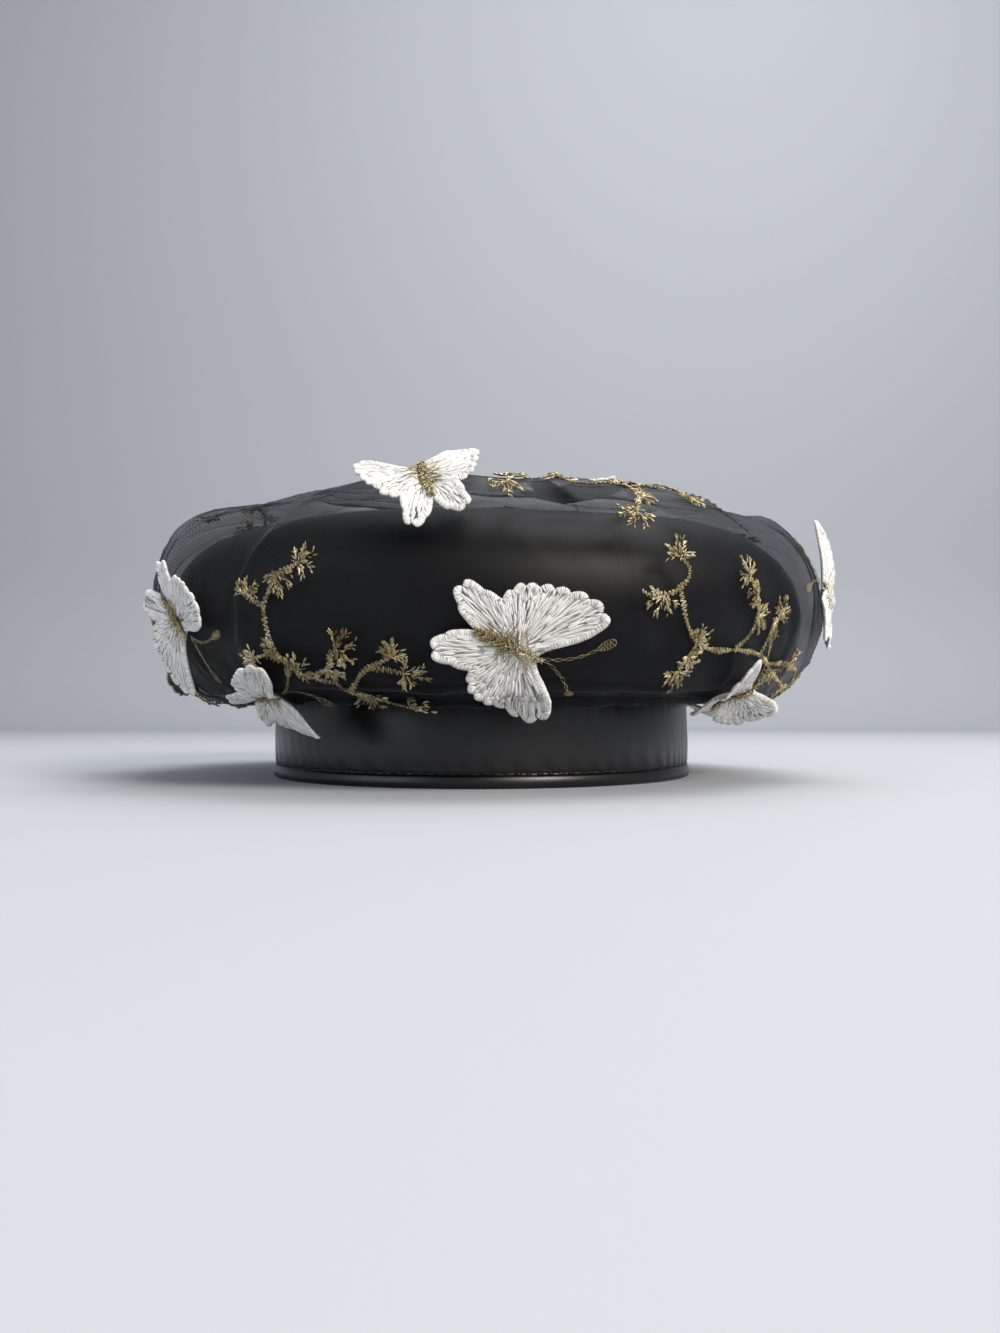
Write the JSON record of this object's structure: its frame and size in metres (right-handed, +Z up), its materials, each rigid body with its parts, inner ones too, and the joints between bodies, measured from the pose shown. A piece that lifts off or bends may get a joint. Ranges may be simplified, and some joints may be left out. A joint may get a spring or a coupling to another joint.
{
  "type": "embroidered beret",
  "caption": "Black satin beret with a sheer organza overlay, raised white thread butterflies and antique gold embroidered sprigs, on a plain satin head band.",
  "frame": {"origin": "On the resting surface, under the middle of the whole beret.", "axes": "+X to the left side of the wearer, -Y the front of the beret, +Z up from the rim of the head band to the top."},
  "size_m": [0.26, 0.2988, 0.1045],
  "materials": {
    "satin_black": "smooth satin with a soft sheen",
    "organza_black": "sheer crisp organza",
    "thread_white": "satin stitch in off-white thread",
    "thread_gold": "antique gold metallic thread"
  },
  "bodies": {
    "root": {"headband": "satin_black", "crown": "satin_black", "organza_overlay": "organza_black", "butterfly_front": "thread_white", "butterfly_front_body": "thread_gold", "butterfly_front_right": "thread_white", "butterfly_front_right_body": "thread_gold", "butterfly_right": "thread_white", "butterfly_right_body": "thread_gold", "butterfly_front_left": "thread_white", "butterfly_front_left_body": "thread_gold", "butterfly_low_left": "thread_white", "butterfly_low_left_body": "thread_gold", "butterfly_left": "thread_white", "butterfly_left_body": "thread_gold", "butterfly_top_front": "thread_white", "butterfly_top_front_body": "thread_gold", "butterfly_low_right": "thread_white", "butterfly_low_right_body": "thread_gold", "butterfly_back": "thread_white", "butterfly_back_body": "thread_gold", "butterfly_back_left": "thread_white", "butterfly_back_left_body": "thread_gold", "butterfly_back_right": "thread_white", "butterfly_back_right_body": "thread_gold", "butterfly_side_back": "thread_white", "butterfly_side_back_body": "thread_gold", "butterfly_top_left": "thread_white", "butterfly_top_left_body": "thread_gold", "butterfly_top_back": "thread_white", "butterfly_top_back_body": "thread_gold", "butterfly_top_right": "thread_white", "butterfly_top_right_body": "thread_gold", "sprig_front_left": "thread_gold", "sprig_front_right": "thread_gold", "sprig_side_left": "thread_gold", "sprig_back_right": "thread_gold", "sprig_back_left": "thread_gold", "sprig_side_right": "thread_gold", "sprig_top_left": "thread_gold", "sprig_top_right": "thread_gold", "sprig_top_front": "thread_gold"}
  },
  "joints": []
}
